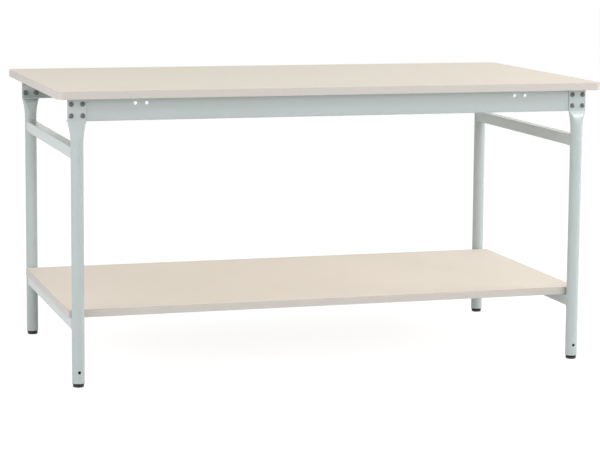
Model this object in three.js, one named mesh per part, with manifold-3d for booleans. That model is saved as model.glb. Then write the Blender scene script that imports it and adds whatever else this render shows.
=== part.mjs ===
// Assembly table: a laminate worktop and a lower shelf on a bolted steel frame.
// Millimetres. +X runs right along the length, +Y to the back and +Z up, with the floor at Z = 0.

import * as THREE from 'three';
import { mergeVertices } from 'three/addons/utils/BufferGeometryUtils.js';
import Module from 'manifold-3d';

const wasm = await Module();
wasm.setup();

// Worktop
const TABLE_LENGTH = 1500;
const TABLE_DEPTH = 800;
const TABLE_HEIGHT = 770;
const TOP_THICKNESS = 20;
const TOP_CORNER_RADIUS = 20;
const EDGE_BAND = 2;

// Lower shelf
const SHELF_HEIGHT = 198; // floor to the shelf's upper face
const SHELF_OVERHANG = 22; // bearer's middle to the shelf's end
const SHELF_THICKNESS = 20;
const SHELF_CORNER_RADIUS = 8;
const SHELF_LEG_CLEARANCE = 2; // each long edge to the legs

// Legs: round tube with its top end pressed flat
const LEG_END_INSET = 57; // worktop end to leg axis
const LEG_SIDE_INSET = 43; // worktop side to leg axis
const TUBE_DIAMETER = 33;
const TUBE_WALL = 2;
const FLATTEN_LENGTH = 57; // from the flat paddle down to the round tube
const PADDLE_TOP_GAP = 2; // paddle end to worktop
const LEG_HOLE_DIAMETER = 8;
const LEG_HOLE_HEIGHT = 40; // floor to hole centre

// Rails: bent channel under each long side of the worktop
const RAIL_HEIGHT = 60;
const RAIL_FLANGE = 25;
const RAIL_SHEET = 2;
const RAIL_BEND_RADIUS = 2; // inside of the bend
const RAIL_END_INSET = 2; // rail end to paddle edge
const ACCESSORY_HOLE_DIAMETER = 9;
const ACCESSORY_HOLE_SPACING = 30;
const ACCESSORY_HOLE_OFFSET = 153; // leg axis to the nearer hole

// Crossbars and shelf bearers: square tube welded between the legs
const BAR_WIDTH = 30;
const BAR_HEIGHT = 30;
const BAR_WALL = 2;
const BAR_CORNER_RADIUS = 3;
const CROSSBAR_DROP = 66; // rail's lower edge to the crossbar's upper face

// Frame bolts and nuts
const BOLT_SPACING = 30; // both ways, on a square
const BOLT_DIAMETER = 8;
const BOLT_HEAD_DIAMETER = 13;
const BOLT_HEAD_HEIGHT = 4.4;
const BOLT_RIM = 1.2; // height of the head's straight edge
const BOLT_CROWN_DIAMETER = 8; // flat on top of the head
const BOLT_TIP = 2; // past the nut
const SOCKET_WIDTH = 5; // across the flats
const SOCKET_DEPTH = 2.4;
const NUT_WIDTH = 13; // across the flats
const NUT_HEIGHT = 6.5;

// Screws that hold the worktop
const SCREW_DIAMETER = 5;
const SCREW_HEAD_DIAMETER = 10;
const SCREW_HEAD_HEIGHT = 3;
const SCREW_GRIP = 14; // depth in the worktop
const SCREW_LEG_OFFSET = 193; // leg axis to the outer screws

// Levelling feet: a plug in each leg and a glide screwed into it
const PAD_DIAMETER = 29;
const PAD_HEIGHT = 8;
const PAD_ROUND = 2.5;
const STEM_DIAMETER = 8;
const STEM_LENGTH = 40;
const PLUG_FLANGE = 2;
const PLUG_FLANGE_INSET = 0.5; // flange edge to the tube's outside
const PLUG_DEPTH = 22;
const PLUG_RIBS = 2;
const PLUG_RIB_HEIGHT = 1.5;

// Clearances and chamfers
const SEAT_GAP = 0.3; // between pieces that bear on each other
const HOLE_CLEARANCE = 0.5; // round a bolt or screw in sheet
const THREAD_CLEARANCE = 0.3; // round a thread
const CHAMFER = 1;
const OVERCUT = 1; // how far a cutter reaches past what it cuts

// Facets
const TUBE_SEGMENTS = 22; // even but no multiple of four, so a facet faces the front
const FLATTEN_STEPS = 6;
const ROUND_SEGMENTS = 16;
const HOLE_SEGMENTS = 12;
const ARC_STEPS = 2; // per eighth of a circle

// Places that follow from the sizes
const LEG_X = TABLE_LENGTH / 2 - LEG_END_INSET;
const LEG_Y = TABLE_DEPTH / 2 - LEG_SIDE_INSET;
const TUBE_RADIUS = TUBE_DIAMETER / 2;
const UNDERSIDE = TABLE_HEIGHT - TOP_THICKNESS;
const RAIL_BOTTOM = UNDERSIDE - RAIL_HEIGHT;
const CROSSBAR_TOP = RAIL_BOTTOM - CROSSBAR_DROP;
const BEARER_TOP = SHELF_HEIGHT - SHELF_THICKNESS;
const BOLT_CENTRE = UNDERSIDE - RAIL_HEIGHT / 2;
const LEG_BOTTOM = PAD_HEIGHT + SEAT_GAP + PLUG_FLANGE;
const LEG_LENGTH = UNDERSIDE - PADDLE_TOP_GAP - LEG_BOTTOM;
const PADDLE_WIDTH = Math.PI * (TUBE_RADIUS - TUBE_WALL) + 2 * TUBE_WALL;
const RAIL_LENGTH = 2 * LEG_X + PADDLE_WIDTH - 2 * RAIL_END_INSET;
const RAIL_FACE_Y = LEG_Y - TUBE_WALL;
const SCREW_PLACES = [SCREW_LEG_OFFSET - LEG_X, 0, LEG_X - SCREW_LEG_OFFSET];
const BOLT_PLACES = [
  [-BOLT_SPACING / 2, -BOLT_SPACING / 2],
  [BOLT_SPACING / 2, -BOLT_SPACING / 2],
  [-BOLT_SPACING / 2, BOLT_SPACING / 2],
  [BOLT_SPACING / 2, BOLT_SPACING / 2],
];

// Materials
const laminate = new THREE.MeshStandardMaterial({ color: 0xe2dacb, roughness: 0.55, metalness: 0 });
const edging = new THREE.MeshStandardMaterial({ color: 0xd9d2c7, roughness: 0.5, metalness: 0 });
const greyPaint = new THREE.MeshStandardMaterial({ color: 0xc2cac8, roughness: 0.45, metalness: 0.1 });
const blackPlastic = new THREE.MeshStandardMaterial({ color: 0x2b2b2a, roughness: 0.6, metalness: 0 });
const darkSteel = new THREE.MeshStandardMaterial({ color: 0x4a4c4a, roughness: 0.4, metalness: 0.7 });
const zincSteel = new THREE.MeshStandardMaterial({ color: 0xb4b6b2, roughness: 0.4, metalness: 0.8 });

// Solid helpers

function solidFrom(geometry) {
  const bare = geometry.clone();
  bare.deleteAttribute('normal');
  bare.deleteAttribute('uv');
  const merged = mergeVertices(bare);
  const corners = merged.index.array;
  const triangles = [];
  for (let i = 0; i < corners.length; i += 3) {
    const [a, b, c] = corners.slice(i, i + 3);
    if (a !== b && b !== c && c !== a) triangles.push(a, b, c);
  }
  return new wasm.Manifold(
    new wasm.Mesh({
      numProp: 3,
      vertProperties: new Float32Array(merged.attributes.position.array),
      triVerts: new Uint32Array(triangles),
    }),
  );
}

function geometryFrom(solid) {
  const mesh = solid.getMesh();
  const geometry = new THREE.BufferGeometry();
  geometry.setAttribute('position', new THREE.BufferAttribute(mesh.vertProperties, 3));
  geometry.setIndex(new THREE.BufferAttribute(mesh.triVerts, 1));
  geometry.computeVertexNormals();
  return geometry;
}

function cut(geometry, cutters) {
  let solid = solidFrom(geometry);
  for (const cutter of cutters) solid = solid.subtract(solidFrom(cutter));
  return geometryFrom(solid);
}

function named(name, geometry, material, x = 0, y = 0, z = 0) {
  const mesh = new THREE.Mesh(geometry, material);
  mesh.name = name;
  mesh.position.set(x, y, z);
  return mesh;
}

// Cylinder along Y, from y to y + length
function drillAlongY(diameter, length, x, y, z) {
  const drill = new THREE.CylinderGeometry(diameter / 2, diameter / 2, length, HOLE_SEGMENTS);
  return drill.translate(x, y + length / 2, z);
}

// Cylinder along Z, from z to z + length
function drillAlongZ(diameter, length, x, y, z, segments = HOLE_SEGMENTS) {
  const drill = new THREE.CylinderGeometry(diameter / 2, diameter / 2, length, segments);
  return drill.rotateX(Math.PI / 2).translate(x, y, z + length / 2);
}

// Solid turned about Z from a profile of [radius, height] points
function turned(profile, segments = ROUND_SEGMENTS) {
  const points = profile.map(([radius, height]) => new THREE.Vector2(radius, height));
  return new THREE.LatheGeometry(points, segments).rotateX(Math.PI / 2);
}

function extruded(shape, depth) {
  return new THREE.ExtrudeGeometry(shape, { depth, bevelEnabled: false, curveSegments: ARC_STEPS });
}

function roundedRectangle(width, height, radius) {
  const shape = new THREE.Shape();
  const x = width / 2 - radius;
  const y = height / 2 - radius;
  shape.absarc(x, -y, radius, -Math.PI / 2, 0);
  shape.absarc(x, y, radius, 0, Math.PI / 2);
  shape.absarc(-x, y, radius, Math.PI / 2, Math.PI);
  shape.absarc(-x, -y, radius, Math.PI, 1.5 * Math.PI);
  return shape;
}

function roundedFrame(width, height, radius, wall) {
  const shape = roundedRectangle(width, height, radius);
  const innerRadius = Math.max(radius - wall, CHAMFER);
  shape.holes.push(roundedRectangle(width - 2 * wall, height - 2 * wall, innerRadius));
  return shape;
}

function hexagon(acrossFlats) {
  const radius = acrossFlats / Math.sqrt(3);
  const corners = [];
  for (let i = 0; i < 6; i += 1) {
    const angle = (i * Math.PI) / 3;
    corners.push(new THREE.Vector2(radius * Math.cos(angle), radius * Math.sin(angle)));
  }
  return new THREE.Shape(corners);
}

// Boards

function board(name, length, depth, thickness, cornerRadius, underside) {
  const core = roundedRectangle(length - 2 * EDGE_BAND, depth - 2 * EDGE_BAND, cornerRadius - EDGE_BAND);
  return named(name, extruded(core, thickness), laminate, 0, 0, underside);
}

function edgeBand(name, length, depth, thickness, cornerRadius, underside) {
  const band = roundedRectangle(length, depth, cornerRadius);
  band.holes.push(roundedRectangle(length - 2 * EDGE_BAND, depth - 2 * EDGE_BAND, cornerRadius - EDGE_BAND));
  return named(name, extruded(band, thickness), edging, 0, 0, underside);
}

function screwY() {
  return RAIL_FACE_Y - (RAIL_FLANGE + RAIL_SHEET) / 2;
}

function worktop() {
  const top = board('top_board', TABLE_LENGTH, TABLE_DEPTH, TOP_THICKNESS, TOP_CORNER_RADIUS, UNDERSIDE);
  const pilots = [];
  for (const x of SCREW_PLACES) {
    for (const y of [-screwY(), screwY()]) {
      const width = SCREW_DIAMETER + 2 * THREAD_CLEARANCE;
      pilots.push(drillAlongZ(width, SCREW_GRIP + 2 * OVERCUT, x, y, -OVERCUT));
    }
  }
  top.geometry = cut(top.geometry, pilots);
  const band = edgeBand(
    'top_edge_band', TABLE_LENGTH, TABLE_DEPTH, TOP_THICKNESS, TOP_CORNER_RADIUS, UNDERSIDE,
  );
  return [top, band];
}

function shelf() {
  const depth = 2 * (LEG_Y - TUBE_RADIUS - SHELF_LEG_CLEARANCE);
  const length = 2 * (LEG_X + SHELF_OVERHANG);
  const size = [length, depth, SHELF_THICKNESS, SHELF_CORNER_RADIUS, BEARER_TOP];
  return [board('shelf_board', ...size), edgeBand('shelf_edge_band', ...size)];
}

// Rail with its holes; the web's outer face is at y = 0, the upper face at z = 0, and flanges point to +Y

function channelProfile() {
  const outer = RAIL_BEND_RADIUS + RAIL_SHEET;
  const shape = new THREE.Shape();
  shape.moveTo(RAIL_FLANGE, 0);
  shape.absarc(outer, -outer, outer, Math.PI / 2, Math.PI);
  shape.absarc(outer, outer - RAIL_HEIGHT, outer, Math.PI, 1.5 * Math.PI);
  shape.lineTo(RAIL_FLANGE, -RAIL_HEIGHT);
  shape.lineTo(RAIL_FLANGE, RAIL_SHEET - RAIL_HEIGHT);
  shape.absarc(outer, outer - RAIL_HEIGHT, RAIL_BEND_RADIUS, 1.5 * Math.PI, Math.PI, true);
  shape.absarc(outer, -outer, RAIL_BEND_RADIUS, Math.PI, Math.PI / 2, true);
  shape.lineTo(RAIL_FLANGE, -RAIL_SHEET);
  return shape;
}

function railGeometry() {
  const channel = extruded(channelProfile(), RAIL_LENGTH).rotateX(Math.PI / 2).rotateZ(Math.PI / 2);
  channel.translate(-RAIL_LENGTH / 2, 0, 0);
  const through = RAIL_SHEET + 2 * OVERCUT;
  const middle = BOLT_CENTRE - UNDERSIDE;
  const drills = [];
  for (const side of [-1, 1]) {
    for (const [x, z] of BOLT_PLACES) {
      const width = BOLT_DIAMETER + 2 * HOLE_CLEARANCE;
      drills.push(drillAlongY(width, through, side * LEG_X + x, -OVERCUT, middle + z));
    }
    for (const step of [0, ACCESSORY_HOLE_SPACING]) {
      const x = side * (LEG_X - ACCESSORY_HOLE_OFFSET - step);
      drills.push(drillAlongY(ACCESSORY_HOLE_DIAMETER, through, x, -OVERCUT, middle + BOLT_SPACING / 2));
    }
  }
  for (const x of SCREW_PLACES) {
    const width = SCREW_DIAMETER + 2 * HOLE_CLEARANCE;
    drills.push(drillAlongZ(width, through, x, RAIL_FACE_Y - screwY(), -RAIL_SHEET - OVERCUT));
  }
  return cut(channel, drills);
}

function screwGeometry() {
  const shank = SCREW_DIAMETER / 2;
  const head = SCREW_HEAD_DIAMETER / 2;
  const tip = RAIL_SHEET + SEAT_GAP + SCREW_GRIP;
  return turned(
    [
      [0, -SCREW_HEAD_HEIGHT],
      [head - CHAMFER, -SCREW_HEAD_HEIGHT],
      [head, CHAMFER - SCREW_HEAD_HEIGHT],
      [head, 0],
      [shank, 0],
      [shank, tip - SCREW_DIAMETER],
      [0, tip],
    ],
    HOLE_SEGMENTS,
  );
}

function railAssembly(side, geometry, screw) {
  const group = new THREE.Group();
  group.add(named(`rail_${side}`, geometry, greyPaint));
  SCREW_PLACES.forEach((x, i) => {
    const y = RAIL_FACE_Y - screwY();
    group.add(named(`top_screw_${side}_${i + 1}`, screw, zincSteel, x, y, -RAIL_SHEET - SEAT_GAP));
  });
  return group;
}

// Leg: a round tube whose upper end is pressed flat. Its outline keeps its length on the way up,
// so the section goes from a circle to a flat-sided oval that widens as it thins.

function legStations() {
  const flatEnd = RAIL_BOTTOM - LEG_BOTTOM;
  const stations = [{ z: 0, half: TUBE_RADIUS }];
  for (let i = FLATTEN_STEPS; i >= 0; i -= 1) {
    const down = i / FLATTEN_STEPS;
    const swell = 1 - (1 - down) ** 2;
    stations.push({ z: flatEnd - down * FLATTEN_LENGTH, half: TUBE_WALL + swell * (TUBE_RADIUS - TUBE_WALL) });
  }
  stations.push({ z: LEG_LENGTH, half: TUBE_WALL });
  return stations;
}

// Skin is how far this surface lies inside the tube's outer one
function pressedTube(stations, skin) {
  const rows = stations.length - 1;
  const tube = new THREE.CylinderGeometry(1, 1, 1, TUBE_SEGMENTS, rows, false, Math.PI / 2);
  tube.rotateX(Math.PI / 2);
  const vertices = tube.attributes.position;
  for (let i = 0; i < vertices.count; i += 1) {
    const { z, half } = stations[Math.round((vertices.getZ(i) + 0.5) * rows)];
    const across = vertices.getX(i);
    const spread = (Math.sign(across) * Math.PI * (TUBE_RADIUS - half)) / 2;
    vertices.setXYZ(i, spread + across * (half - skin), vertices.getY(i) * (half - skin), z);
  }
  return tube;
}

function legGeometry() {
  const stations = legStations();
  const bore = stations.filter(({ half }) => half > TUBE_WALL);
  bore[0] = { z: -OVERCUT, half: TUBE_RADIUS };
  const cutters = [pressedTube(bore, TUBE_WALL)];
  const paddle = 2 * (TUBE_WALL + OVERCUT);
  for (const [x, z] of BOLT_PLACES) {
    const width = BOLT_DIAMETER + 2 * HOLE_CLEARANCE;
    cutters.push(drillAlongY(width, paddle, x, -paddle / 2, BOLT_CENTRE - LEG_BOTTOM + z));
  }
  const reach = TUBE_RADIUS + OVERCUT;
  cutters.push(drillAlongY(LEG_HOLE_DIAMETER, reach, 0, -reach, LEG_HOLE_HEIGHT - LEG_BOTTOM));
  return cut(pressedTube(stations, 0), cutters);
}

// Plug in the leg's lower end, its flange under the tube's edge at z = 0
function plugGeometry() {
  const bore = STEM_DIAMETER / 2 + THREAD_CLEARANCE;
  const flange = TUBE_RADIUS - PLUG_FLANGE_INSET;
  const rib = TUBE_RADIUS - TUBE_WALL - SEAT_GAP;
  const core = rib - PLUG_RIB_HEIGHT;
  const pitch = PLUG_DEPTH / PLUG_RIBS;
  const profile = [
    [bore, -PLUG_FLANGE],
    [flange - CHAMFER, -PLUG_FLANGE],
    [flange, CHAMFER - PLUG_FLANGE],
    [flange, 0],
  ];
  for (let i = 0; i < PLUG_RIBS; i += 1) {
    profile.push([core, i * pitch], [rib, i * pitch + PLUG_RIB_HEIGHT]);
  }
  profile.push([core, PLUG_DEPTH], [bore, PLUG_DEPTH], [bore, -PLUG_FLANGE]);
  return turned(profile);
}

// Glide: a pad that stands on the floor, with its stem up into the plug
function glideGeometry() {
  const pad = PAD_DIAMETER / 2;
  const stem = STEM_DIAMETER / 2;
  const top = PAD_HEIGHT + STEM_LENGTH;
  return turned([
    [0, 0],
    [pad - PAD_ROUND, 0],
    [pad - CHAMFER / 2, PAD_ROUND / 2],
    [pad, PAD_ROUND],
    [pad, PAD_HEIGHT - PAD_ROUND],
    [pad - PAD_ROUND, PAD_HEIGHT],
    [stem, PAD_HEIGHT],
    [stem, top - CHAMFER],
    [stem - CHAMFER, top],
    [0, top],
  ]);
}

// Bolt along Y with its head towards -Y, the underside of the head at y = 0
function boltGeometry() {
  const shank = BOLT_DIAMETER / 2;
  const head = BOLT_HEAD_DIAMETER / 2;
  const grip = 2 * TUBE_WALL + RAIL_SHEET + 2 * SEAT_GAP;
  const tip = -grip - NUT_HEIGHT - BOLT_TIP;
  const turnedBolt = turned(
    [
      [0, tip],
      [shank - CHAMFER, tip],
      [shank, tip + CHAMFER],
      [shank, 0],
      [head, 0],
      [head, BOLT_RIM],
      [head - CHAMFER, BOLT_HEAD_HEIGHT - CHAMFER],
      [BOLT_CROWN_DIAMETER / 2, BOLT_HEAD_HEIGHT],
      [0, BOLT_HEAD_HEIGHT],
    ],
    HOLE_SEGMENTS,
  );
  const socket = extruded(hexagon(SOCKET_WIDTH), SOCKET_DEPTH + OVERCUT);
  socket.translate(0, 0, BOLT_HEAD_HEIGHT - SOCKET_DEPTH);
  return cut(turnedBolt, [socket]).rotateX(Math.PI / 2);
}

// Nut along Y, from y = 0 to its height
function nutGeometry() {
  const shape = hexagon(NUT_WIDTH);
  const bore = new THREE.Path();
  bore.absarc(0, 0, BOLT_DIAMETER / 2 + THREAD_CLEARANCE, 0, 2 * Math.PI);
  shape.holes.push(bore);
  const nut = new THREE.ExtrudeGeometry(shape, {
    depth: NUT_HEIGHT, bevelEnabled: false, curveSegments: HOLE_SEGMENTS / 2,
  });
  return nut.rotateX(-Math.PI / 2);
}

// One corner in front-leg terms: the outside of the table is towards -Y
function corner(name, shapes) {
  const group = new THREE.Group();
  group.add(named(`leg_${name}`, shapes.leg, greyPaint, 0, 0, LEG_BOTTOM));
  group.add(named(`plug_${name}`, shapes.plug, blackPlastic, 0, 0, LEG_BOTTOM));
  group.add(named(`glide_${name}`, shapes.glide, blackPlastic));
  const headY = -TUBE_WALL - SEAT_GAP;
  const nutY = TUBE_WALL + RAIL_SHEET + SEAT_GAP;
  BOLT_PLACES.forEach(([x, z], i) => {
    group.add(named(`bolt_${name}_${i + 1}`, shapes.bolt, darkSteel, x, headY, BOLT_CENTRE + z));
    group.add(named(`nut_${name}_${i + 1}`, shapes.nut, darkSteel, x, nutY, BOLT_CENTRE + z));
  });
  return group;
}

// Bar between a front and a rear leg, its ends shaped to the tubes, its upper face at z = 0
function barGeometry() {
  const section = roundedFrame(BAR_WIDTH, BAR_HEIGHT, BAR_CORNER_RADIUS, BAR_WALL);
  const bar = extruded(section, 2 * LEG_Y).rotateX(Math.PI / 2).translate(0, LEG_Y, -BAR_HEIGHT / 2);
  const width = TUBE_DIAMETER + 2 * SEAT_GAP;
  const length = BAR_HEIGHT + 2 * OVERCUT;
  const bottom = -BAR_HEIGHT - OVERCUT;
  const copes = [-LEG_Y, LEG_Y].map((y) => drillAlongZ(width, length, 0, y, bottom, TUBE_SEGMENTS));
  return cut(bar, copes);
}

// The table
const table = new THREE.Group();
table.name = 'assembly_table';
table.add(...worktop(), ...shelf());

const rail = railGeometry();
const screw = screwGeometry();
const bar = barGeometry();
const cornerShapes = {
  leg: legGeometry(),
  plug: plugGeometry(),
  glide: glideGeometry(),
  bolt: boltGeometry(),
  nut: nutGeometry(),
};

for (const [end, turn] of [['front', 0], ['rear', Math.PI]]) {
  const outward = turn === 0 ? -1 : 1;
  const railGroup = railAssembly(end, rail, screw);
  railGroup.position.set(0, outward * RAIL_FACE_Y, UNDERSIDE);
  railGroup.rotation.z = turn;
  table.add(railGroup);
  for (const [side, x] of [['left', -LEG_X], ['right', LEG_X]]) {
    const cornerGroup = corner(`${end}_${side}`, cornerShapes);
    cornerGroup.position.set(x, outward * LEG_Y, 0);
    cornerGroup.rotation.z = turn;
    table.add(cornerGroup);
  }
}

for (const [side, x] of [['left', -LEG_X], ['right', LEG_X]]) {
  table.add(named(`crossbar_${side}`, bar, greyPaint, x, 0, CROSSBAR_TOP));
  table.add(named(`bearer_${side}`, bar, greyPaint, x, 0, BEARER_TOP));
}

export default table;
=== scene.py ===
import math

import bmesh
import bpy
from bpy.props import FloatProperty, FloatVectorProperty, PointerProperty
from mathutils import Matrix, Vector


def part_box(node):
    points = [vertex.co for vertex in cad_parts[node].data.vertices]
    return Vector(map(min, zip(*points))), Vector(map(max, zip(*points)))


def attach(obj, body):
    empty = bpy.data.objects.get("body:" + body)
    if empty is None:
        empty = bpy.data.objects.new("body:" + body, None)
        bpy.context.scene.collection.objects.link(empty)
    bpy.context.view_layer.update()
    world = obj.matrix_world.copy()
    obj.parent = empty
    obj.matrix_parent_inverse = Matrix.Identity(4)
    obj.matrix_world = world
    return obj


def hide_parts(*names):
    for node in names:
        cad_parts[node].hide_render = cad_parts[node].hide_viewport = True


bl_info = {
    "name": "Assembly Table",
    "version": (1, 0, 0),
    "blender": (4, 5, 0),
    "location": "View3D > Sidebar > Table",
    "description": "Dresses the packed model of a steel-framed assembly table",
    "category": "Object",
}

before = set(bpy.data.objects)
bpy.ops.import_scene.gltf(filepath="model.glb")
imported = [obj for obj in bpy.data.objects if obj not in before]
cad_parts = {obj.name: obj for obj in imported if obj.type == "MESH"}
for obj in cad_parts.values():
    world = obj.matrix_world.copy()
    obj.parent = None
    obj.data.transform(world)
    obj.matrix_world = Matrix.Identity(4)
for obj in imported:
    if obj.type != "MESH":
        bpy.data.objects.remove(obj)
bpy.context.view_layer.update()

FRAME_BODY = "table"
CORNERS = ("front_left", "front_right", "rear_left", "rear_right")
SIDES = ("front", "rear")
ENDS = ("left", "right")
BOLTS_PER_CORNER = 4
SCREWS_PER_RAIL = 3
QUARTER_TURN = math.pi / 2

# The photograph's width in pixels, and the camera sensor's in millimetres
PHOTO_WIDTH = 600
SENSOR_WIDTH = 36.0

# Facets all round a curved form, and steps round a corner
ROUND = 64
HOLE_ROUND = 32
SMALL_ROUND = 24
BOARD_CORNER_STEPS = 12
BAR_CORNER_STEPS = 5

# Other lengths, here and further down, are in metres
TINY = 1e-6
THREAD_GAP = 0.0003


def length(title, words, default):
    """A size in metres that the sidebar shows with its unit."""
    return FloatProperty(
        name=title, description=words, default=default, min=0.0, precision=4, unit="LENGTH")


def colour(title, words, default):
    """A linear colour with a swatch in the sidebar."""
    return FloatVectorProperty(
        name=title, description=words, default=default, size=3, min=0.0, max=1.0, subtype="COLOR")


class TableSizes(bpy.types.PropertyGroup):
    """Sizes of the table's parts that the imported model's boxes don't give."""

    top_corner: length("Top corner", "Radius of the worktop's corners", 0.020)
    shelf_corner: length("Shelf corner", "Radius of the shelf's corners", 0.008)
    edge_round: length("Edge round", "Rounding along the edge bands", 0.0011)
    band_groove: length("Band groove", "Easing of the laminate where the edge band meets it", 0.00015)
    tube_diameter: length("Tube diameter", "Outside of the round legs", 0.033)
    tube_wall: length("Tube wall", "Wall of the round legs", 0.002)
    flatten: length("Flattened length", "From the flat paddle down to the round tube", 0.057)
    leg_hole: length("Leg hole", "Diameter of the hole near each foot", 0.008)
    leg_hole_height: length("Leg hole height", "Floor to the middle of that hole", 0.040)
    sheet: length("Rail sheet", "Thickness of the rails' steel", 0.002)
    bend: length("Rail bend", "Inside radius of the rails' bends", 0.002)
    rail_hole: length("Rail hole", "Diameter of the spare holes in the rails", 0.009)
    rail_hole_offset: length("Rail hole offset", "Leg to the nearer spare hole", 0.153)
    rail_hole_spacing: length("Rail hole spacing", "Between the spare holes of a pair", 0.030)
    bolt_spacing: length("Bolt spacing", "Side of the square of bolts", 0.030)
    bar_corner: length("Bar corner", "Radius along the square bars", 0.003)
    bar_wall: length("Bar wall", "Wall of the square bars", 0.002)
    weld: length("Weld", "Radius of the weld beads", 0.0014)
    bolt_head: length("Bolt head", "Diameter of the domed bolt heads", 0.013)
    bolt_rise: length("Bolt head height", "Height of the domed bolt heads", 0.0044)
    bolt_shank: length("Bolt shank", "Diameter of the frame bolts", 0.008)
    socket: length("Bolt socket", "Hexagon socket across its flats", 0.005)
    nut_width: length("Nut width", "Nuts across their flats", 0.013)
    screw_head: length("Screw head", "Diameter of the top screws' heads", 0.010)
    screw_shank: length("Screw shank", "Diameter of the top screws", 0.005)
    pad_height: length("Pad height", "Height of the glides' pads", 0.008)
    stem: length("Stem", "Diameter of the glides' screwed stems", 0.008)
    pitch: length("Thread pitch", "Rise of the stems' thread in one turn", 0.00125)


class TableFinishes(bpy.types.PropertyGroup):
    """Colours of the table's surfaces."""

    laminate: colour("Laminate", "Worktop faces", (0.882, 0.806, 0.690))
    # The shelf is the worktop's laminate, painted slightly cooler and brighter to cancel the yellow
    # bounce light it gets under the worktop
    shelf_laminate: colour("Shelf laminate", "Shelf faces", (0.890, 0.813, 0.718))
    edging: colour("Edging", "Edge bands of the boards", (0.592, 0.553, 0.514))
    paint: colour("Paint", "Powder coat of the steel frame", (0.482, 0.540, 0.538))
    plastic: colour("Plastic", "Plugs and glides", (0.022, 0.022, 0.020))
    bolt_steel: colour("Bolt steel", "Blackened bolts and nuts", (0.190, 0.200, 0.190))
    zinc: colour("Zinc", "Plated top screws", (0.560, 0.560, 0.540))


class TableStage(bpy.types.PropertyGroup):
    """Camera, light and floor."""

    camera_place: FloatVectorProperty(
        name="Camera", description="Where the camera stands", default=(-1.6775, -5.5909, 1.2211), size=3,
        subtype="TRANSLATION", unit="LENGTH")
    yaw: FloatProperty(
        name="Yaw", description="Turn of the view about the vertical", default=math.radians(-16.798),
        subtype="ANGLE")
    pitch: FloatProperty(
        name="Pitch", description="How far the view dips", default=math.radians(7.418), subtype="ANGLE")
    roll: FloatProperty(
        name="Roll", description="Lean of the view", default=math.radians(0.440), subtype="ANGLE")
    focal_pixels: FloatProperty(
        name="Focal length", description="In pixels of an image 600 wide", default=2086.7, min=1.0)
    shift_pixels: FloatProperty(
        name="Shift", description="Vertical shift in pixels of an image 600 wide", default=-40.0)
    sky: FloatProperty(name="Sky", description="Strength of the light all round", default=0.51, min=0.0)
    lamps: FloatProperty(name="Lamps", description="Share of the lamps' power", default=1.0, min=0.0)
    floor: colour("Floor", "Colour of the floor", (0.76, 0.76, 0.76))


def sizes():
    return bpy.context.scene.table_sizes


def finishes():
    return bpy.context.scene.table_finishes


# Shapes

def all_faces_outward(bm):
    bmesh.ops.recalc_face_normals(bm, faces=bm.faces[:])
    if bm.calc_volume(signed=True) < 0.0:
        bmesh.ops.reverse_faces(bm, faces=bm.faces[:])


def of_type(geometry, kind):
    return [part for part in geometry if isinstance(part, kind)]


def round_outline(width, depth, radius, steps):
    """Flat face with rounded corners, centred on the origin."""
    bm = bmesh.new()
    bmesh.ops.create_grid(bm, x_segments=1, y_segments=1, size=0.5)
    bmesh.ops.scale(bm, vec=(width, depth, 1.0), verts=bm.verts[:])
    bmesh.ops.bevel(
        bm, geom=bm.verts[:], offset=radius, offset_type="OFFSET", segments=steps, profile=0.5,
        affect="VERTICES", material=-1)
    return bm


def raise_faces(bm, faces, height):
    """Extrudes faces straight up into a closed slab."""
    grown = bmesh.ops.extrude_face_region(bm, geom=faces)["geom"]
    bmesh.ops.translate(bm, vec=(0.0, 0.0, height), verts=of_type(grown, bmesh.types.BMVert))
    all_faces_outward(bm)


def soften(bm, edges, radius, steps):
    bmesh.ops.bevel(
        bm, geom=edges, offset=radius, offset_type="OFFSET", segments=steps, profile=0.5,
        affect="EDGES", material=-1)


def crisp_edges(bm, least=math.radians(60.0)):
    return [edge for edge in bm.edges if edge.is_manifold and edge.calc_face_angle() > least]


def draw_out(bm, edges, way):
    """Extrudes edges along a vector and gives back all that grew."""
    grown = bmesh.ops.extrude_edge_only(bm, edges=edges)["geom"]
    bmesh.ops.translate(bm, vec=way, verts=of_type(grown, bmesh.types.BMVert))
    return grown


def ring_tower(segments, stations, outline):
    """Closed solid with a ring for each station, its points placed by outline(across, along, station)."""
    bm = bmesh.new()
    bmesh.ops.create_circle(bm, cap_ends=True, segments=segments, radius=1.0)
    edges = bm.edges[:]
    for _ in stations[1:]:
        grown = draw_out(bm, edges, (0.0, 0.0, 1.0))
        edges = [edge for edge in of_type(grown, bmesh.types.BMEdge) if edge.is_boundary]
    bmesh.ops.contextual_create(bm, geom=edges)
    for vertex in bm.verts:
        across, along, level = vertex.co
        vertex.co = outline(across, along, stations[round(level)])
    all_faces_outward(bm)
    return bm


def open_bore(bm, segments):
    """Takes off a ring tower's two end caps and joins their rims into a bore."""
    caps = [face for face in bm.faces if len(face.verts) == segments]
    bmesh.ops.delete(bm, geom=caps, context="FACES_ONLY")
    bmesh.ops.bridge_loops(bm, edges=[edge for edge in bm.edges if edge.is_boundary])
    all_faces_outward(bm)
    return bm


def circle_outline(across, along, station):
    radius, height = station
    return (across * radius, along * radius, height)


def hexagon_reach(across, along):
    """How far a regular hexagon reaches in a direction, for flats at distance 1 from the middle."""
    angle = math.atan2(along, across) % (math.pi / 3)
    return 1.0 / math.cos(angle - math.pi / 6)


def cylinder(radius, low, high, segments=ROUND):
    return ring_tower(segments, [(radius, low), (radius, high)], circle_outline)


def moved(bm, matrix):
    bmesh.ops.transform(bm, matrix=matrix, verts=bm.verts[:])
    return bm


def joined(*shapes):
    """Copies several shapes into one bmesh."""
    whole = bmesh.new()
    for shape in shapes:
        mesh = bpy.data.meshes.new("part")
        shape.to_mesh(mesh)
        shape.free()
        whole.from_mesh(mesh)
        bpy.data.meshes.remove(mesh)
    return whole


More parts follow.
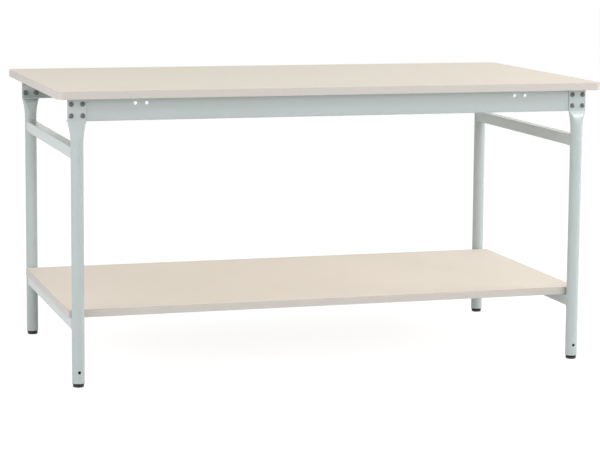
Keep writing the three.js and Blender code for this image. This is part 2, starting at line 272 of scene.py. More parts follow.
def loose_object(bm, name):
    mesh = bpy.data.meshes.new(name)
    bm.to_mesh(mesh)
    bm.free()
    item = bpy.data.objects.new(name, mesh)
    bpy.context.scene.collection.objects.link(item)
    return item


def cut(bm, cutters):
    """The shape with the cutters taken out of it."""
    body = loose_object(bm, "cut_body")
    tool = loose_object(joined(*cutters), "cut_tool")
    modifier = body.modifiers.new("cut", "BOOLEAN")
    modifier.operation = "DIFFERENCE"
    modifier.solver = "EXACT"
    modifier.object = tool
    graph = bpy.context.evaluated_depsgraph_get()
    mesh = bpy.data.meshes.new_from_object(body.evaluated_get(graph))
    result = bmesh.new()
    result.from_mesh(mesh)
    for item in (body, tool):
        old = item.data
        bpy.data.objects.remove(item)
        bpy.data.meshes.remove(old)
    bpy.data.meshes.remove(mesh)
    return result


def piece(name, bm, material, node, body=FRAME_BODY, sharp=math.radians(40.0)):
    """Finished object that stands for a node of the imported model, or for none."""
    for face in bm.faces:
        face.smooth = True
    item = loose_object(bm, name)
    item.data.set_sharp_from_angle(angle=sharp)
    item.data.materials.append(material)
    weighted = item.modifiers.new("even_shading", "WEIGHTED_NORMAL")
    weighted.keep_sharp = True
    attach(item, body)
    if node:
        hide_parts(node)


def turn_of(name):
    return math.pi if name.startswith("rear") else 0.0


def middle(node):
    low, high = (Vector(corner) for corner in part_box(node))
    return (low + high) / 2


def extent(node):
    low, high = (Vector(corner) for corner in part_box(node))
    return high - low


def leg_place(name):
    """Floor point under a leg, with the rear legs turned to face the back."""
    axis = middle(f"glide_{name}")
    return Matrix.Translation((axis.x, axis.y, 0.0)) @ Matrix.Rotation(turn_of(name), 4, "Z")


# Materials

def new_finish(name, tint, roughness, metallic=0.0):
    material = bpy.data.materials.new(name)
    material.use_nodes = True
    shader = material.node_tree.nodes["Principled BSDF"]
    shader.inputs["Base Color"].default_value = (*tint, 1.0)
    shader.inputs["Roughness"].default_value = roughness
    shader.inputs["Metallic"].default_value = metallic
    return material


def noise(material, scale, detail=2.0, stretch=(1.0, 1.0, 1.0)):
    """Noise in the piece's own space, with scale in grains for each metre."""
    tree = material.node_tree
    place = tree.nodes.new("ShaderNodeTexCoord")
    mapping = tree.nodes.new("ShaderNodeMapping")
    mapping.inputs["Scale"].default_value = stretch
    grain = tree.nodes.new("ShaderNodeTexNoise")
    grain.inputs["Scale"].default_value = scale
    grain.inputs["Detail"].default_value = detail
    tree.links.new(place.outputs["Object"], mapping.inputs["Vector"])
    tree.links.new(mapping.outputs["Vector"], grain.inputs["Vector"])
    return grain.outputs["Fac"]


def spread(material, value, low=0.0, high=1.0, start=0.3, end=0.7):
    """Maps a noise value from start to end onto the range from low to high."""
    node = material.node_tree.nodes.new("ShaderNodeMapRange")
    node.inputs["From Min"].default_value = start
    node.inputs["From Max"].default_value = end
    node.inputs["To Min"].default_value = low
    node.inputs["To Max"].default_value = high
    material.node_tree.links.new(value, node.inputs["Value"])
    return node.outputs["Result"]


def shaded(material, value, under, tint):
    """Colour that runs from an under tone to the tint, or to the colour of an earlier node."""
    tree = material.node_tree
    mix = tree.nodes.new("ShaderNodeMix")
    mix.data_type = "RGBA"
    mix.inputs["A"].default_value = (*under, 1.0)
    if isinstance(tint, bpy.types.NodeSocket):
        tree.links.new(tint, mix.inputs["B"])
    else:
        mix.inputs["B"].default_value = (*tint, 1.0)
    tree.links.new(value, mix.inputs["Factor"])
    return mix.outputs["Result"]


def into(material, output, socket):
    shader = material.node_tree.nodes["Principled BSDF"]
    material.node_tree.links.new(output, shader.inputs[socket])


def vary_roughness(material, scale, low, high):
    into(material, spread(material, noise(material, scale), low, high), "Roughness")


def pebble(material, scale, depth, strength=1.0):
    """Fine bump all over, of a depth in metres."""
    node = material.node_tree.nodes.new("ShaderNodeBump")
    node.inputs["Strength"].default_value = strength
    node.inputs["Distance"].default_value = depth
    material.node_tree.links.new(noise(material, scale, detail=1.0), node.inputs["Height"])
    into(material, node.outputs["Normal"], "Normal")


def tone(tint, share):
    return tuple(channel * share for channel in tint)


def kept(name, make, *settings):
    """The finish of that name, made the first time it is asked for."""
    return bpy.data.materials.get(name) or make(name, *settings)


def laminate_finish(name, tint):
    """Melamine face: a pale fibre print under a fine pebbled surface."""
    material = new_finish(name, tint, roughness=0.62)
    fibres = spread(material, noise(material, 90.0, detail=4.0, stretch=(0.25, 1.0, 1.0)))
    flecks = spread(material, noise(material, 900.0, detail=1.0), start=0.2, end=0.55)
    print_colour = shaded(material, fibres, tone(tint, 0.965), tint)
    into(material, shaded(material, flecks, tone(tint, 0.93), print_colour), "Base Color")
    vary_roughness(material, 14.0, low=0.58, high=0.66)
    pebble(material, 1400.0, depth=0.00004)
    return material


def edging_finish(name):
    """Plastic edge band with a faint lengthwise drag."""
    tint = finishes().edging
    material = new_finish(name, tint, roughness=0.45)
    drag = spread(material, noise(material, 60.0, detail=3.0, stretch=(0.1, 0.1, 6.0)))
    into(material, shaded(material, drag, tone(tint, 0.985), tint), "Base Color")
    vary_roughness(material, 30.0, low=0.40, high=0.50)
    pebble(material, 700.0, depth=0.00003, strength=0.2)
    return material


def paint_finish(name):
    """Powder coat: satin, with a shallow orange peel."""
    tint = finishes().paint
    material = new_finish(name, tint, roughness=0.22)
    cloud = spread(material, noise(material, 9.0, detail=3.0))
    into(material, shaded(material, cloud, tone(tint, 0.985), tint), "Base Color")
    vary_roughness(material, 60.0, low=0.20, high=0.24)
    pebble(material, 320.0, depth=0.00005, strength=0.12)
    return material


def plastic_finish(name):
    """Moulded black plastic with a fine spark grain and pale scuffs."""
    tint = finishes().plastic
    material = new_finish(name, tint, roughness=0.5)
    plain = spread(material, noise(material, 260.0, detail=4.0), low=1.0, high=0.0, start=0.62, end=0.78)
    into(material, shaded(material, plain, tone(tint, 2.2), tint), "Base Color")
    vary_roughness(material, 180.0, low=0.42, high=0.58)
    pebble(material, 2600.0, depth=0.00003)
    return material


def bolt_finish(name):
    """Blackened steel, worn brighter in patches."""
    tint = finishes().bolt_steel
    material = new_finish(name, tint, roughness=0.4, metallic=0.6)
    wear = spread(material, noise(material, 500.0, detail=4.0), start=0.35, end=0.75)
    into(material, shaded(material, wear, tone(tint, 0.75), tint), "Base Color")
    vary_roughness(material, 900.0, low=0.32, high=0.48)
    pebble(material, 3000.0, depth=0.00001)
    return material


def zinc_finish(name):
    """Bright zinc plating with a mottled spangle."""
    tint = finishes().zinc
    material = new_finish(name, tint, roughness=0.34, metallic=1.0)
    spangle = spread(material, noise(material, 700.0))
    into(material, shaded(material, spangle, tone(tint, 0.82), tint), "Base Color")
    vary_roughness(material, 700.0, low=0.28, high=0.42)
    pebble(material, 2500.0, depth=0.00001)
    return material


def laminate(kind):
    """The worktop's laminate, or the shelf's slightly cooler copy of it, painted bluer to cancel the
    yellow light that bounces onto the shelf.
    """
    # The shelf's tint is painted bluer to offset the yellow bounce light, not a different laminate
    tint = finishes().shelf_laminate if kind == "shelf" else finishes().laminate
    return kept(f"laminate_{kind}", laminate_finish, tint)


def edging():
    return kept("edge_band_beige", edging_finish)


def paint():
    return kept("powder_coat_grey", paint_finish)


def plastic():
    return kept("moulded_black", plastic_finish)


def bolt_steel():
    return kept("blackened_steel", bolt_finish)


def zinc():
    return kept("zinc_plate", zinc_finish)


# Boards

def slab_place(node):
    """Where a slab that is made on z = 0 goes to fill its node's box."""
    place = middle(node)
    return Matrix.Translation((place.x, place.y, place.z - extent(node).z / 2))


def board_shape(node, radius, groove):
    size = extent(node)
    bm = round_outline(size.x, size.y, radius, BOARD_CORNER_STEPS)
    raise_faces(bm, bm.faces[:], size.z)
    soften(bm, crisp_edges(bm), groove, steps=1)
    return moved(bm, slab_place(node))


def is_level(face):
    return abs(face.normal.z) > 0.5


def faces_away(face):
    return face.normal.xy.dot(face.calc_center_median().xy) > 0.0


def on_outer_rim(edge):
    return all(is_level(face) or faces_away(face) for face in edge.link_faces)


def band_shape(node, wall, radius, edge_round):
    size = extent(node)
    bm = round_outline(size.x, size.y, radius, BOARD_CORNER_STEPS)
    inner = bm.faces[:]
    bmesh.ops.inset_region(bm, faces=inner, thickness=wall, use_even_offset=True, use_boundary=True)
    bmesh.ops.delete(bm, geom=inner, context="FACES")
    raise_faces(bm, bm.faces[:], size.z)
    soften(bm, [edge for edge in crisp_edges(bm) if on_outer_rim(edge)], edge_round, steps=4)
    return moved(bm, slab_place(node))


def board_and_band(kind, name, radius):
    board, band = f"{kind}_board", f"{kind}_edge_band"
    wall = (extent(band).x - extent(board).x) / 2
    face = board_shape(board, radius - wall, sizes().band_groove)
    piece(f"{name}_laminate", face, laminate(kind), board)
    edge = band_shape(band, wall, radius, sizes().edge_round)
    piece(f"{name}_edging", edge, edging(), band)


class TABLE_OT_worktop(bpy.types.Operator):
    """Make the laminate worktop and its edge band"""

    bl_idname = "table.worktop"
    bl_label = "Worktop"

    def execute(self, context):
        board_and_band("top", "worktop", sizes().top_corner)
        return {"FINISHED"}


class TABLE_OT_shelf(bpy.types.Operator):
    """Make the lower shelf and its edge band"""

    bl_idname = "table.shelf"
    bl_label = "Shelf"

    def execute(self, context):
        board_and_band("shelf", "shelf", sizes().shelf_corner)
        return {"FINISHED"}


# Rails

CUT_EDGE_EASE = 0.0002


def channel_shape(rail_size):
    """Bent channel along X: its web's face at y = 0, its upper face at z = 0, its flanges towards +Y."""
    size = sizes()
    half, flange, height = rail_size.x / 2, rail_size.y, rail_size.z
    profile = ((flange, 0.0), (0.0, 0.0), (0.0, -height), (flange, -height))
    bm = bmesh.new()
    line = [bm.verts.new((-half, y, z)) for y, z in profile]
    edges = [bm.edges.new(pair) for pair in zip(line, line[1:])]
    draw_out(bm, edges, (2 * half, 0.0, 0.0))
    for face in bm.faces:
        away = face.calc_center_median() - Vector((0.0, flange / 2, -height / 2))
        if face.normal.dot(away) < 0.0:
            face.normal_flip()
    bm.normal_update()
    soften(bm, crisp_edges(bm), size.bend + size.sheet, steps=6)
    bmesh.ops.solidify(bm, geom=bm.faces[:], thickness=size.sheet)
    all_faces_outward(bm)
    soften(bm, crisp_edges(bm), CUT_EDGE_EASE, steps=1)
    return bm


def rail_drills(rail_size, leg_x):
    """Cutters for the spare holes, level with the upper row of bolts."""
    size = sizes()
    level = size.bolt_spacing / 2 - rail_size.z / 2
    drills = []
    for side in (-1, 1):
        for step in (0.0, size.rail_hole_spacing):
            x = side * (leg_x - size.rail_hole_offset - step)
            place = Matrix.Translation((x, 0.0, level)) @ Matrix.Rotation(QUARTER_TURN, 4, "X")
            drill = cylinder(size.rail_hole / 2, -2 * size.sheet, size.sheet, HOLE_ROUND)
            drills.append(moved(drill, place))
    return drills


class TABLE_OT_rails(bpy.types.Operator):
    """Make the bent rails under the worktop, with their spare holes"""

    bl_idname = "table.rails"
    bl_label = "Rails"

    def execute(self, context):
        for side in SIDES:
            node = f"rail_{side}"
            low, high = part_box(node)
            size = extent(node)
            face = low[1] if side == "front" else high[1]
            rail = cut(channel_shape(size), rail_drills(size, middle("leg_front_right").x))
            place = Matrix.Translation((0.0, face, high[2])) @ Matrix.Rotation(turn_of(side), 4, "Z")
            piece(f"channel_rail_{side}", moved(rail, place), paint(), node)
        return {"FINISHED"}


# Legs

LEG_EDGE_EASE = 0.0005
PRESS_STEPS = 18


def leg_stations(bottom, top, flat_end):
    """Rings of a leg: down its bore, round its lower edge and up its outside to the pressed end."""
    size = sizes()
    radius, wall = size.tube_diameter / 2, size.tube_wall
    rings = [
        (flat_end - size.flatten, radius, wall),
        (bottom, radius, wall),
        (bottom, radius, LEG_EDGE_EASE),
        (bottom + LEG_EDGE_EASE, radius, 0.0),
    ]
    for i in range(PRESS_STEPS, -1, -1):
        down = i / PRESS_STEPS
        swell = 1.0 - (1.0 - down) ** 2
        rings.append((flat_end - down * size.flatten, wall + swell * (radius - wall), 0.0))
    rings += [
        (flat_end + 2 * wall, wall, 0.0),
        (top - LEG_EDGE_EASE, wall, 0.0),
        (top, wall, LEG_EDGE_EASE),
    ]
    return rings


def pressed_outline(across, along, station):
    """Point of a tube's outline pressed to a flat-sided oval of the same length round."""
    height, half, skin = station
    flat = math.pi * (sizes().tube_diameter / 2 - half) / 2
    side = 0.0 if abs(across) < TINY else math.copysign(flat, across)
    return (side + across * (half - skin), along * (half - skin), height)


def leg_shape(node):
    size = sizes()
    low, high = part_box(node)
    flat_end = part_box("rail_front")[0][2]
    leg = ring_tower(ROUND, leg_stations(low[2], high[2], flat_end), pressed_outline)
    drill = cylinder(size.leg_hole / 2, 0.0, size.tube_diameter, HOLE_ROUND)
    place = Matrix.Translation((0.0, 0.0, size.leg_hole_height)) @ Matrix.Rotation(QUARTER_TURN, 4, "X")
    return cut(leg, [moved(drill, place)])


class TABLE_OT_legs(bpy.types.Operator):
    """Make the round legs with their upper ends pressed flat"""

    bl_idname = "table.legs"
    bl_label = "Legs"

    def execute(self, context):
        for name in CORNERS:
            leg = moved(leg_shape(f"leg_{name}"), leg_place(name))
            piece(f"tube_leg_{name}", leg, paint(), f"leg_{name}")
        return {"FINISHED"}


# Square bars between the legs

COPE_GAP = 0.0002
BAR_FLAT_LEAST = 0.005


def bar_shape(node, leg_y):
    """Square tube along Y with both ends shaped to the legs."""
    size = sizes()
    section = extent(node)
    bm = round_outline(section.x, section.z, size.bar_corner, BAR_CORNER_STEPS)
    bmesh.ops.delete(bm, geom=bm.faces[:], context="FACES_ONLY")
    draw_out(bm, bm.edges[:], (0.0, 0.0, 2 * leg_y))
    all_faces_outward(bm)
    bmesh.ops.solidify(bm, geom=bm.faces[:], thickness=size.bar_wall)
    all_faces_outward(bm)
    moved(bm, Matrix.Rotation(-QUARTER_TURN, 4, "X") @ Matrix.Translation((0.0, 0.0, -leg_y)))
    reach = section.z
    cope = size.tube_diameter / 2 + COPE_GAP
    cutters = []
    for y in (-leg_y, leg_y):
        cutters.append(moved(cylinder(cope, -reach, reach), Matrix.Translation((0.0, y, 0.0))))
    return moved(cut(bm, cutters), Matrix.Translation(middle(node)))


def bead_path(section):
    """Points round a bar's outline, close together along its flat sides."""
    outline = round_outline(section.x, section.z, sizes().bar_corner, BAR_CORNER_STEPS)
    flats = [edge for edge in outline.edges if edge.calc_length() > BAR_FLAT_LEAST]
    bmesh.ops.subdivide_edges(outline, edges=flats, cuts=23)
    outline.faces.ensure_lookup_table()
    path = [vertex.co.copy() for vertex in outline.faces[0].verts]
    outline.free()
    return path


def ripple(step):
    """Swell of a weld bead at one of its points."""
    return 1.0 + 0.16 * math.sin(1.9 * step) + 0.07 * math.sin(0.7 * step)


def curve_shape(curve):
    """Shape of a curve with a round section. The curve itself is removed."""
    item = bpy.data.objects.new("bead", curve)
    bpy.context.scene.collection.objects.link(item)
    mesh = bpy.data.meshes.new_from_object(item)
    bm = bmesh.new()
    bm.from_mesh(mesh)
    bpy.data.objects.remove(item)
    bpy.data.curves.remove(curve)
    bpy.data.meshes.remove(mesh)
    all_faces_outward(bm)
    return bm


def weld_shape(node, leg_y, side):
    """Rippled bead round one end of a bar, where it meets the leg."""
    size = sizes()
    path = bead_path(extent(node))
    curve = bpy.data.curves.new("bead", "CURVE")
    curve.dimensions = "3D"
    curve.bevel_depth = size.weld
    curve.bevel_resolution = 2
    line = curve.splines.new("POLY")
    line.points.add(len(path) - 1)
    line.use_cyclic_u = True
    centre = middle(node)
    for i, (point, spot) in enumerate(zip(line.points, path)):
        away = math.sqrt(max((size.tube_diameter / 2) ** 2 - spot.x ** 2, 0.0))
        point.co = (centre.x + spot.x, side * (leg_y - away), centre.z + spot.y, 1.0)
        point.radius = ripple(i)
    return curve_shape(curve)


class TABLE_OT_bars(bpy.types.Operator):
    """Make the crossbars and shelf bearers with their weld beads"""

    bl_idname = "table.bars"
    bl_label = "Crossbars and bearers"

    def execute(self, context):
        leg_y = middle("glide_rear_left").y
        for kind in ("crossbar", "bearer"):
            for end in ENDS:
                node = f"{kind}_{end}"
                piece(f"square_{node}", bar_shape(node, leg_y), paint(), node)
                for side, turn in zip(SIDES, (-1, 1)):
                    bead = weld_shape(node, leg_y, turn)
                    piece(f"weld_{node}_{side}", bead, paint(), None, sharp=math.pi)
        return {"FINISHED"}


# Bolts, nuts and screws

BOLT_PITCH = 0.00125
BOLT_ROOT = 0.86
BOLT_THREAD = 0.008
BOLT_TIP = 0.001
# At the limit angle, a bolt's dome has dropped by this share of its head's height
DOME_LIMIT = 1.47
DOME_SHARE = 0.8
DOME_DEGREES = (28, 40, 52, 64, 76, 84)
NUT_LIP = 0.0005
NUT_FACE = 0.96
NUT_CHAMFER_START = 0.97
NUT_CHAMFER = math.radians(30.0)
NUT_SHARP = math.radians(25.0)
SCREW_HEAD_HEIGHT = 0.0030
SCREW_PLAIN = 0.0060
SCREW_PITCH = 0.0018
SCREW_ROOT = 0.72
SCREW_RUN_OUT = 0.0065
SCREW_TIP = 0.004
SLOT_SIZE = (0.0048, 0.0011, 0.0036)
SLOT_TAPER = (0.55, 0.7, 1.0)


def bolt_outline(across, along, station):
    radius, height, six_sided = station
    if six_sided:
        radius *= hexagon_reach(across, along)
    return (across * radius, along * radius, height)


def dome_ring(head, rise, degrees):
    """Ring of a bolt's dome, at an angle from the bolt's axis."""
    angle = math.radians(degrees)
    drop = rise * DOME_SHARE * (1.0 - math.cos(angle)) / (1.0 - math.cos(DOME_LIMIT))
    return (head * math.sin(angle), -drop, False)


def bolt_shape(total):
    """Domed bolt along Z with a hexagon socket, the top of its head at z = 0."""
    size = sizes()
    head, rise = size.bolt_head / 2, size.bolt_rise
    shank, hexagon = size.bolt_shank / 2, size.socket / 2
    rings = [
        (hexagon * 0.2, -0.62 * rise, False),
        (hexagon, -0.54 * rise, True),
        (hexagon, -0.03 * rise, True),
        (hexagon * 1.06, 0.0, True),
    ]
    rings += [dome_ring(head, rise, degrees) for degrees in DOME_DEGREES]
    rings += [
        (head, -0.86 * rise, False),
        (head, -0.95 * rise, False),
        (head * 0.97, -rise, False),
        (shank, -rise, False),
    ]
    height = -total + BOLT_THREAD
    rings.append((shank, height, False))
    while height > -total + 2 * BOLT_PITCH:
        rings.append((shank * BOLT_ROOT, height - BOLT_PITCH * 0.5, False))
        rings.append((shank, height - BOLT_PITCH, False))
        height -= BOLT_PITCH
    rings += [(shank, -total + BOLT_TIP, False), (shank - BOLT_TIP, -total, False)]
    return ring_tower(SMALL_ROUND, rings, bolt_outline)


def nut_outline(across, along, station):
    radius, height, chamfer = station
    if not chamfer:
        return (across * radius, along * radius, height)
    reach = radius * hexagon_reach(across, along)
    drop = chamfer * max(reach - radius * NUT_CHAMFER_START, 0.0) * math.tan(NUT_CHAMFER)
    return (across * reach, along * reach, height - drop)


def nut_shape(height):
    """Hexagon nut along Z from z = 0, with its corners chamfered and a round bore."""
    size = sizes()
    flat, bore = size.nut_width / 2, size.bolt_shank / 2 + THREAD_GAP
    rings = [
        (bore, 0.0, 0),
        (bore + NUT_LIP, 0.0, 0),
        (flat * NUT_FACE, 0.0, 0),
        (flat, 0.0, -1),
        (flat, height, 1),
        (flat * NUT_FACE, height, 0),
        (bore + NUT_LIP, height, 0),
        (bore, height - NUT_LIP, 0),
    ]
    return open_bore(ring_tower(SMALL_ROUND, rings, nut_outline), SMALL_ROUND)


def fastener_place(node, corner, tilt):
    """Face of a bolt or nut that is nearest the outside of the table, with Z tilted to lie along Y."""
    low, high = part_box(node)
    face = high[1] if corner.startswith("rear") else low[1]
    place = Matrix.Translation((middle(node).x, face, middle(node).z))
    return place @ Matrix.Rotation(turn_of(corner), 4, "Z") @ Matrix.Rotation(tilt, 4, "X")


class TABLE_OT_bolts(bpy.types.Operator):
    """Make the frame bolts and their nuts"""

    bl_idname = "table.bolts"
    bl_label = "Bolts and nuts"

    def execute(self, context):
        for name in CORNERS:
            for i in range(1, BOLTS_PER_CORNER + 1):
                bolt, nut = f"bolt_{name}_{i}", f"nut_{name}_{i}"
                shape = moved(bolt_shape(extent(bolt).y), fastener_place(bolt, name, QUARTER_TURN))
                piece(f"domed_{bolt}", shape, bolt_steel(), bolt)
                shape = moved(nut_shape(extent(nut).y), fastener_place(nut, name, -QUARTER_TURN))
                piece(f"hex_{nut}", shape, bolt_steel(), nut, sharp=NUT_SHARP)
        return {"FINISHED"}


def cross_slots():
    """Two tapered cutters for the cross recess of a screw's head."""
    slots = []
    for turn in (0.0, QUARTER_TURN):
        slot = bmesh.new()
        bmesh.ops.create_cube(slot, size=1.0)
        bmesh.ops.scale(slot, vec=SLOT_SIZE, verts=slot.verts[:])
        deep_end = [vertex for vertex in slot.verts if vertex.co.z > 0.0]
        bmesh.ops.scale(slot, vec=SLOT_TAPER, verts=deep_end)
        slots.append(moved(slot, Matrix.Rotation(turn, 4, "Z")))
    return slots


def screw_shape(total):
    """Pan-head screw along Z, its head's crown at z = 0 below and its tip above, with a cross recess."""
    size = sizes()
    head, shank = size.screw_head / 2, size.screw_shank / 2
    rings = [
        (head * 0.45, 0.0),
        (head * 0.75, 0.0003),
        (head * 0.93, 0.0010),
        (head, 0.0019),
        (head, SCREW_HEAD_HEIGHT),
        (shank, SCREW_HEAD_HEIGHT),
        (shank, SCREW_PLAIN),
    ]
    height = SCREW_PLAIN
    while height < total - SCREW_RUN_OUT:
        rings.append((shank * SCREW_ROOT, height + SCREW_PITCH * 0.6))
        rings.append((shank, height + SCREW_PITCH))
        height += SCREW_PITCH
    rings += [(shank * SCREW_ROOT, total - SCREW_TIP), (shank * 0.15, total)]
    first, second = cross_slots()
    return cut(cut(ring_tower(SMALL_ROUND, rings, circle_outline), [first]), [second])


class TABLE_OT_screws(bpy.types.Operator):
    """Make the screws that hold the worktop to the rails"""

    bl_idname = "table.screws"
    bl_label = "Top screws"

    def execute(self, context):
        for side in SIDES:
            for i in range(1, SCREWS_PER_RAIL + 1):
                node = f"top_screw_{side}_{i}"
                place = middle(node)
                crown = Matrix.Translation((place.x, place.y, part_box(node)[0][2]))
                shape = moved(screw_shape(extent(node).z), crown)
                piece(f"pan_{node}", shape, zinc(), node)
        return {"FINISHED"}


# Feet

PLUG_GAP = 0.0003
PLUG_FLANGE = 0.002
RIB_HEIGHT = 0.0015
RIB_PITCH = 0.005
RIB_STOP = 0.006
THREAD_DEPTH = 0.54
THREAD_STEPS = 20
PAD_LOWER_ROUND = 0.0022
PAD_UPPER_ROUND = 0.0016
PAD_SHOULDER = 0.0030
PAD_ROUND_DEGREES = (30, 60, 90)
STEM_SINK = 0.003


def plug_shape(node):
    """Ribbed insert in the leg's lower end, with a flange under the tube."""
    size = sizes()
    bottom, top = (corner[2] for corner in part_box(node))
    seat = bottom + PLUG_FLANGE
    bore, flange = size.stem / 2 + THREAD_GAP, extent(node).x / 2
    rib = size.tube_diameter / 2 - size.tube_wall - PLUG_GAP
    core = rib - RIB_HEIGHT
    rings = [
        (bore, bottom + 0.0006),
        (bore + 0.0006, bottom),
        (flange - 0.0008, bottom),
        (flange - 0.0002, bottom + 0.0003),
        (flange, bottom + 0.0009),
        (flange, seat - 0.0001),
        (core, seat),
    ]
    height = seat
    while height < top - RIB_STOP:
        rings += [(rib, height + RIB_HEIGHT), (core, height + RIB_PITCH)]
        height += RIB_PITCH
    rings += [(core, top), (bore, top)]
    return open_bore(ring_tower(ROUND, rings, circle_outline), ROUND)


def thread_shape(radius, pitch, low, high):
    """Screwed rod along Z: one turn's profile spun up a helix."""
    root = radius - THREAD_DEPTH * pitch
    profile = [(root, 0.0), (root, 0.12), (radius, 0.45), (radius, 0.57), (root, 0.9), (root, 1.0)]
    turns = int((high - low) / pitch) - 1
    bm = bmesh.new()
    points = [bm.verts.new((reach, 0.0, low + share * pitch)) for reach, share in profile]
    edges = [bm.edges.new(pair) for pair in zip(points, points[1:])]
    bmesh.ops.spin(
        bm, geom=points + edges, cent=(0.0, 0.0, 0.0), axis=(0.0, 0.0, 1.0),
        dvec=(0.0, 0.0, pitch / THREAD_STEPS), angle=2 * math.pi * turns, steps=THREAD_STEPS * turns)
    bmesh.ops.remove_doubles(bm, verts=bm.verts[:], dist=TINY)
    bmesh.ops.holes_fill(bm, edges=[edge for edge in bm.edges if edge.is_boundary])
    all_faces_outward(bm)
    return bm


def pad_shape(node):
    """Round pad with a rolled edge and a raised collar under the stem."""
    pad, height = extent(node).x / 2, sizes().pad_height
    shoulder = height - PAD_SHOULDER
    angles = [math.radians(degrees) for degrees in PAD_ROUND_DEGREES]
    rings = [(pad * 0.55, 0.0006), (pad * 0.60, 0.0), (pad - PAD_LOWER_ROUND, 0.0)]
    for angle in angles:
        inward, upward = 1.0 - math.sin(angle), 1.0 - math.cos(angle)
        rings.append((pad - PAD_LOWER_ROUND * inward, PAD_LOWER_ROUND * upward))
    rings.append((pad, shoulder))
    for angle in angles:
        inward, upward = 1.0 - math.cos(angle), math.sin(angle)
        rings.append((pad - PAD_UPPER_ROUND * inward, shoulder + PAD_UPPER_ROUND * upward))
    rings += [
        (pad * 0.62, height - 0.0013),
        (pad * 0.56, height - 0.0002),
        (pad * 0.53, height),
        (pad * 0.2, height),
    ]
    return ring_tower(ROUND, rings, circle_outline)


class TABLE_OT_feet(bpy.types.Operator):
    """Make the tube plugs and the screwed levelling glides"""

    bl_idname = "table.feet"
    bl_label = "Feet"

    def execute(self, context):
        size = sizes()
        for name in CORNERS:
            plug = moved(plug_shape(f"plug_{name}"), leg_place(name))
            piece(f"tube_plug_{name}", plug, plastic(), f"plug_{name}")
            node = f"glide_{name}"
            stem_low, stem_high = size.pad_height - STEM_SINK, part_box(node)[1][2]
            stem = thread_shape(size.stem / 2, size.pitch, stem_low, stem_high)
            glide = moved(joined(pad_shape(node), stem), leg_place(name))
            piece(f"levelling_{node}", glide, plastic(), node, body=node)
        return {"FINISHED"}


# Stage

# Share of the floor that glows for the camera, and the strength that makes open floor white
FLOOR_GLOW_SHARE = 0.60
FLOOR_GLOW = 1.41

# Each lamp's name, power, place, aim, width, and whether glossy surfaces mirror it
LAMPS = (
    ("front_box", 70.0, (1.0, -5.0, 2.0), (0.0, -0.3, 0.6), 2.0, False),
    ("left_box", 25.0, (-3.0, -0.9, 1.4), (-0.5, 0.0, 0.5), 1.4, True),
    ("right_box", 40.0, (3.0, -0.6, 1.5), (0.5, 0.0, 0.5), 1.4, True),
    ("front_right_box", 4.0, (2.4, -2.8, 1.6), (0.4, 0.0, 0.5), 1.4, True),
    ("left_glint", 9.0, (-2.8, -2.2, 2.2), (-0.7, -0.3, 0.66), 0.4, True),
    ("right_glint", 11.0, (2.0, -2.7, 2.45), (0.7, -0.3, 0.66), 0.4, True),
    ("rear_box", 4.0, (1.2, 1.2, 3.0), (0.3, 0.0, 0.7), 2.2, True),
)


def seen_ray(nodes, links):
    """1 for what the camera sees, directly, mirrored or through glass, and 0 for other light."""
    path = nodes.new("ShaderNodeLightPath")
    value = path.outputs["Is Camera Ray"]
    for other in ("Is Glossy Ray", "Is Transmission Ray"):
        larger = nodes.new("ShaderNodeMath")
        larger.operation = "MAXIMUM"
        links.new(value, larger.inputs[0])
        links.new(path.outputs[other], larger.inputs[1])
        value = larger.outputs[0]
    return value


def make_world(strength):
    world = bpy.data.worlds.new("studio")
    world.use_nodes = True
    nodes, links = world.node_tree.nodes, world.node_tree.links
    lit = nodes["Background"]
    lit.inputs["Color"].default_value = (1.0, 1.0, 1.0, 1.0)
    lit.inputs["Strength"].default_value = strength
    white = nodes.new("ShaderNodeBackground")
    white.inputs["Color"].default_value = (1.0, 1.0, 1.0, 1.0)
    mix = nodes.new("ShaderNodeMixShader")
    links.new(seen_ray(nodes, links), mix.inputs[0])
    links.new(lit.outputs[0], mix.inputs[1])
    links.new(white.outputs[0], mix.inputs[2])
    links.new(mix.outputs[0], nodes["World Output"].inputs["Surface"])
    bpy.context.scene.world = world


def floor_finish(tint):
    """Pale floor that the camera sees as white, with the table's shadow faint on it."""
    material = bpy.data.materials.new("pale_floor")
    material.use_nodes = True
    nodes, links = material.node_tree.nodes, material.node_tree.links
    nodes.remove(nodes["Principled BSDF"])
    lit = nodes.new("ShaderNodeBsdfDiffuse")
    lit.inputs["Color"].default_value = (*tint, 1.0)
    glow = nodes.new("ShaderNodeEmission")
    glow.inputs["Color"].default_value = (1.0, 1.0, 1.0, 1.0)
    glow.inputs["Strength"].default_value = FLOOR_GLOW
    share = nodes.new("ShaderNodeMath")
    share.operation = "MULTIPLY"
    share.inputs[1].default_value = FLOOR_GLOW_SHARE
    mix = nodes.new("ShaderNodeMixShader")
    links.new(seen_ray(nodes, links), share.inputs[0])
    links.new(share.outputs[0], mix.inputs[0])
    links.new(lit.outputs[0], mix.inputs[1])
    links.new(glow.outputs[0], mix.inputs[2])
    links.new(mix.outputs[0], nodes["Material Output"].inputs["Surface"])
    return material


def make_floor(tint):
    bm = bmesh.new()
    bmesh.ops.create_circle(bm, cap_ends=True, segments=48, radius=30.0)
    floor = loose_object(bm, "floor")
    floor.data.materials.append(floor_finish(tint))


def make_lamp(name, power, place, target, width, mirrored):
    data = bpy.data.lights.new(name, "AREA")
    data.shape = "DISK"
    data.size = width
    data.energy = power
    lamp = bpy.data.objects.new(name, data)
    bpy.context.scene.collection.objects.link(lamp)
    lamp.location = place
    lamp.visible_glossy = mirrored
    lamp.rotation_euler = (Vector(target) - Vector(place)).to_track_quat("-Z", "Y").to_euler()


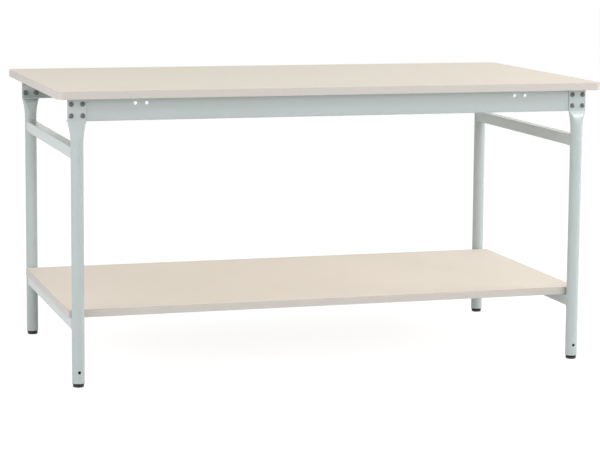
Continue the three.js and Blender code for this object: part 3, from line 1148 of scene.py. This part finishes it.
def make_camera(stage):
    data = bpy.data.cameras.new("camera")
    data.sensor_width = SENSOR_WIDTH
    data.lens = stage.focal_pixels * SENSOR_WIDTH / PHOTO_WIDTH
    data.shift_y = stage.shift_pixels / PHOTO_WIDTH
    data.clip_end = 100.0
    camera = bpy.data.objects.new("camera", data)
    bpy.context.scene.collection.objects.link(camera)
    level = math.cos(stage.pitch)
    ahead = Vector((-math.sin(stage.yaw) * level, math.cos(stage.yaw) * level, -math.sin(stage.pitch)))
    right = Vector((math.cos(stage.yaw), math.sin(stage.yaw), 0.0))
    up = right.cross(ahead)
    right, up = (
        right * math.cos(stage.roll) + up * math.sin(stage.roll),
        up * math.cos(stage.roll) - right * math.sin(stage.roll))
    turn = Matrix((right, up, -ahead)).transposed().to_4x4()
    camera.matrix_world = Matrix.Translation(stage.camera_place) @ turn
    bpy.context.scene.camera = camera


class TABLE_OT_stage(bpy.types.Operator):
    """Set up the camera, the floor and the soft light"""

    bl_idname = "table.stage"
    bl_label = "Stage"

    def execute(self, context):
        stage = context.scene.table_stage
        context.scene.view_settings.view_transform = "Standard"
        make_camera(stage)
        make_world(stage.sky)
        make_floor(stage.floor)
        for name, power, place, target, width, mirrored in LAMPS:
            make_lamp(name, power * stage.lamps, place, target, width, mirrored)
        return {"FINISHED"}


class TABLE_PT_panel(bpy.types.Panel):
    """Sidebar with the table's steps and settings"""

    bl_idname = "TABLE_PT_panel"
    bl_label = "Assembly Table"
    bl_space_type = "VIEW_3D"
    bl_region_type = "UI"
    bl_category = "Table"

    def draw(self, context):
        for operator in OPERATORS:
            self.layout.operator(operator.bl_idname)
        for group in (context.scene.table_sizes, context.scene.table_finishes, context.scene.table_stage):
            box = self.layout.box()
            for key in group.bl_rna.properties.keys():
                if key not in ("rna_type", "name"):
                    box.prop(group, key)


OPERATORS = (
    TABLE_OT_stage, TABLE_OT_worktop, TABLE_OT_shelf, TABLE_OT_rails, TABLE_OT_legs, TABLE_OT_bars,
    TABLE_OT_bolts, TABLE_OT_screws, TABLE_OT_feet,
)
GROUPS = (TableSizes, TableFinishes, TableStage)


def register():
    for item in GROUPS + OPERATORS + (TABLE_PT_panel,):
        bpy.utils.register_class(item)
    bpy.types.Scene.table_sizes = PointerProperty(type=TableSizes)
    bpy.types.Scene.table_finishes = PointerProperty(type=TableFinishes)
    bpy.types.Scene.table_stage = PointerProperty(type=TableStage)


def unregister():
    del bpy.types.Scene.table_stage
    del bpy.types.Scene.table_finishes
    del bpy.types.Scene.table_sizes
    for item in reversed(GROUPS + OPERATORS + (TABLE_PT_panel,)):
        bpy.utils.unregister_class(item)


def main():
    register()
    bpy.ops.table.stage()
    bpy.ops.table.worktop()
    bpy.ops.table.shelf()
    bpy.ops.table.rails()
    bpy.ops.table.legs()
    bpy.ops.table.bars()
    bpy.ops.table.bolts()
    bpy.ops.table.screws()
    bpy.ops.table.feet()


if __name__ == "__main__":
    main()
